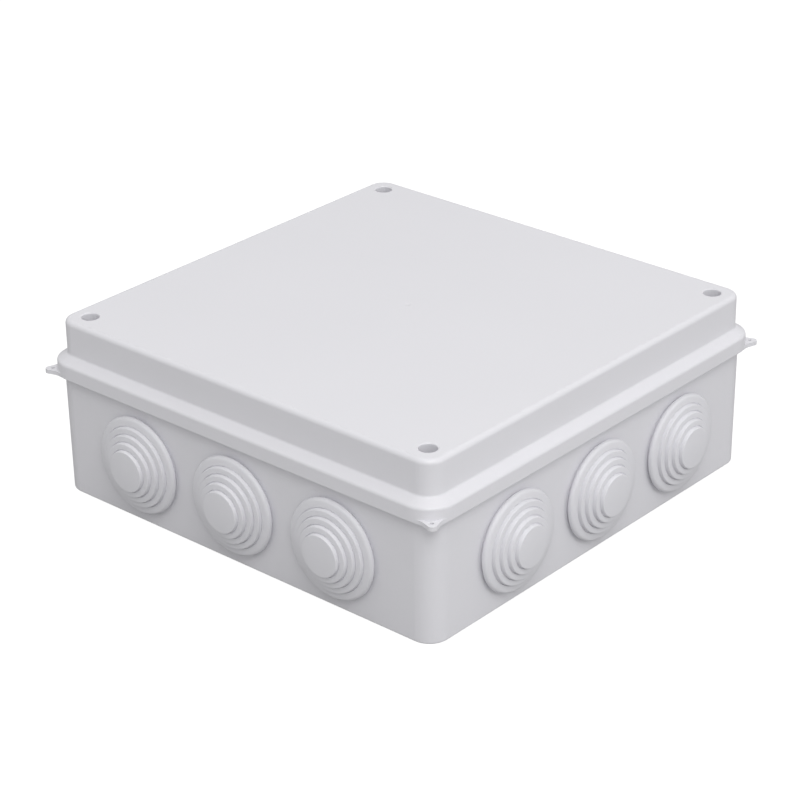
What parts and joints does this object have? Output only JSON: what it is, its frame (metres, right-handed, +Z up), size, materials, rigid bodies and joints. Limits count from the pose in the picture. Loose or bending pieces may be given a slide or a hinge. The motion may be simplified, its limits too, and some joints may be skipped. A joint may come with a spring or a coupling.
{
  "type": "junction box",
  "caption": "Square wall-mounted cable junction box with a deep screwed lid, sealing gasket, stepped push-in cable grommets and holed corner ears.",
  "frame": {"origin": "middle of the underside of the base", "axes": "+Z up through the lid, -Y the front wall, +X the right wall"},
  "size_m": [0.2186, 0.2186, 0.076],
  "materials": {
    "moulded_base": "satin moulded ABS, pale grey",
    "moulded_lid": "satin moulded ABS, pale grey",
    "soft_grommet": "satin soft elastomer, pale grey",
    "sealing_foam": "matt closed-cell rubber, dark grey",
    "zinc_steel": "zinc-plated steel",
    "washer_rubber": "matt black rubber"
  },
  "bodies": {
    "base": {"base": "moulded_base", "grommet_right_1": "soft_grommet", "grommet_right_2": "soft_grommet", "grommet_right_3": "soft_grommet", "grommet_back_1": "soft_grommet", "grommet_back_2": "soft_grommet", "grommet_back_3": "soft_grommet", "grommet_left_1": "soft_grommet", "grommet_left_2": "soft_grommet", "grommet_left_3": "soft_grommet", "grommet_front_1": "soft_grommet", "grommet_front_2": "soft_grommet", "grommet_front_3": "soft_grommet"},
    "lid": {"lid": "moulded_lid", "lid_gasket": "sealing_foam"},
    "washer_back_right": {"screw_washer_back_right": "washer_rubber"},
    "screw_back_right": {"lid_screw_back_right": "zinc_steel"},
    "washer_back_left": {"screw_washer_back_left": "washer_rubber"},
    "screw_back_left": {"lid_screw_back_left": "zinc_steel"},
    "washer_front_left": {"screw_washer_front_left": "washer_rubber"},
    "screw_front_left": {"lid_screw_front_left": "zinc_steel"},
    "washer_front_right": {"screw_washer_front_right": "washer_rubber"},
    "screw_front_right": {"lid_screw_front_right": "zinc_steel"}
  },
  "joints": [
    {"name": "lid_lift", "type": "slide", "parent": "base", "child": "lid", "axis": [0, 0, 1], "range_m": [0, 0.08]},
    {"name": "screw_rise_back_right", "type": "slide", "parent": "lid", "child": "washer_back_right", "axis": [0, 0, 1], "range_m": [0, 0.013]},
    {"name": "screw_turn_back_right", "type": "hinge", "parent": "washer_back_right", "child": "screw_back_right", "pos_m": [0.0888, 0.0888, 0.0587], "axis": [0, 0, 1], "range_deg": [0, 3601]},
    {"name": "screw_rise_back_left", "type": "slide", "parent": "lid", "child": "washer_back_left", "axis": [0, 0, 1], "range_m": [0, 0.013]},
    {"name": "screw_turn_back_left", "type": "hinge", "parent": "washer_back_left", "child": "screw_back_left", "pos_m": [-0.0888, 0.0888, 0.0587], "axis": [0, 0, 1], "range_deg": [0, 3601]},
    {"name": "screw_rise_front_left", "type": "slide", "parent": "lid", "child": "washer_front_left", "axis": [0, 0, 1], "range_m": [0, 0.013]},
    {"name": "screw_turn_front_left", "type": "hinge", "parent": "washer_front_left", "child": "screw_front_left", "pos_m": [-0.0888, -0.0888, 0.0587], "axis": [0, 0, 1], "range_deg": [0, 3601]},
    {"name": "screw_rise_front_right", "type": "slide", "parent": "lid", "child": "washer_front_right", "axis": [0, 0, 1], "range_m": [0, 0.013]},
    {"name": "screw_turn_front_right", "type": "hinge", "parent": "washer_front_right", "child": "screw_front_right", "pos_m": [0.0888, -0.0888, 0.0587], "axis": [0, 0, 1], "range_deg": [0, 3601]}
  ],
  "couplings": [
    {"joint": "screw_turn_back_right", "follows": "screw_rise_back_right", "rad_per_m": 4833.2},
    {"joint": "screw_turn_back_left", "follows": "screw_rise_back_left", "rad_per_m": 4833.2},
    {"joint": "screw_turn_front_left", "follows": "screw_rise_front_left", "rad_per_m": 4833.2},
    {"joint": "screw_turn_front_right", "follows": "screw_rise_front_right", "rad_per_m": 4833.2}
  ]
}
